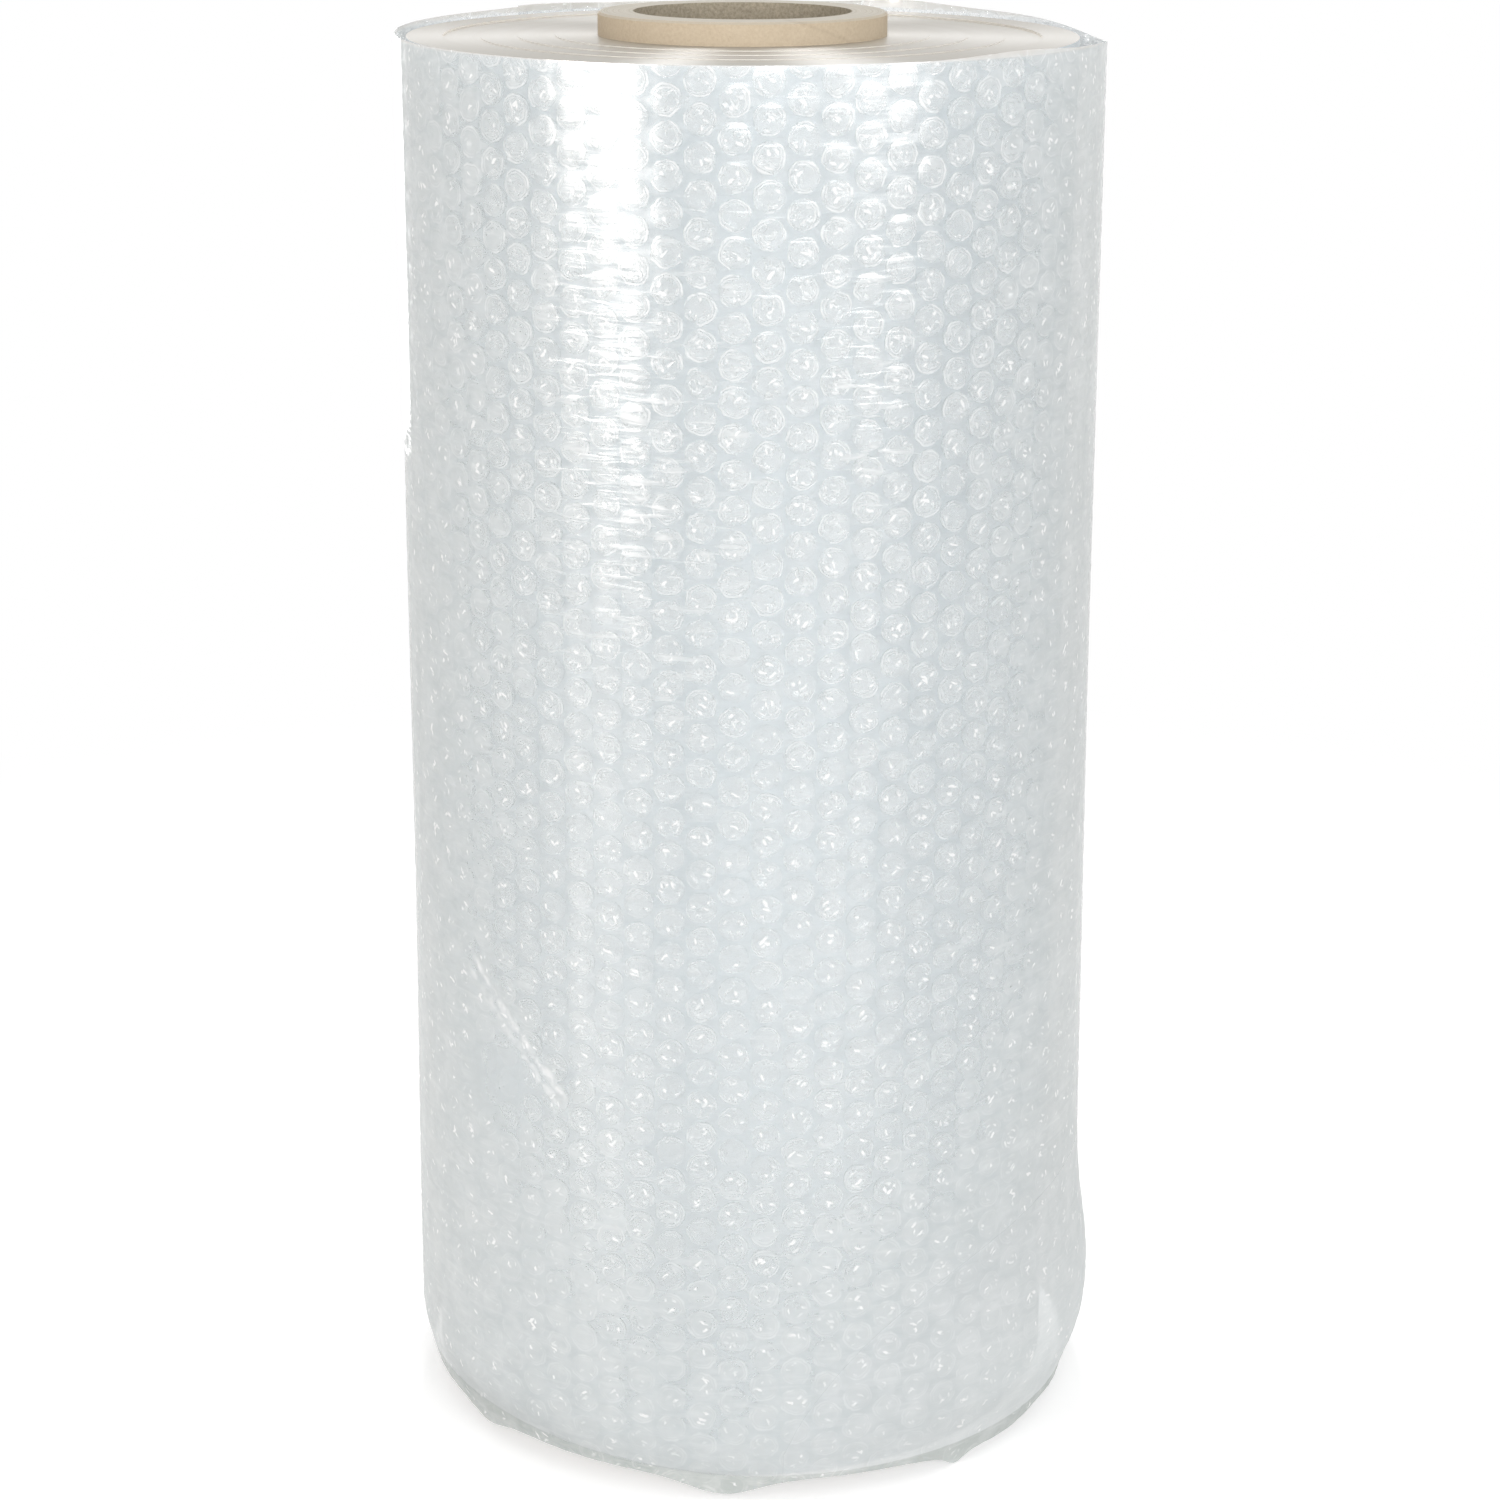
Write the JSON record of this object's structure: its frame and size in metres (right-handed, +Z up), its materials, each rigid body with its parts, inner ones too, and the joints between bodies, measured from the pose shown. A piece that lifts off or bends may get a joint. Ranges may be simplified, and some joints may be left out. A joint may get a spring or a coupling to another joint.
{
  "type": "stretch wrap roll",
  "caption": "Machine roll of clear stretch film wound on a paperboard core, standing on end in a taped sleeve of bubble film.",
  "frame": {"origin": "centre of the core's bore at the core's lower end, on the plane the roll stands on", "axes": "+Z up along the core's axis; the side that faces -Y is the front, and the sleeve's lap is behind, towards +Y"},
  "size_m": [0.2484, 0.2484, 0.516],
  "materials": {
    "core_board": "matt kraft board, spiral wound",
    "stretch_film": "clear film, cloudy and faintly blue when wound thick",
    "bubble_film": "clear glossy film with air bubbles",
    "clear_tape": "clear glossy tape"
  },
  "bodies": {
    "root": {"core": "core_board", "film_roll": "stretch_film", "bubble_sleeve": "bubble_film", "closing_tape": "clear_tape"}
  },
  "joints": []
}
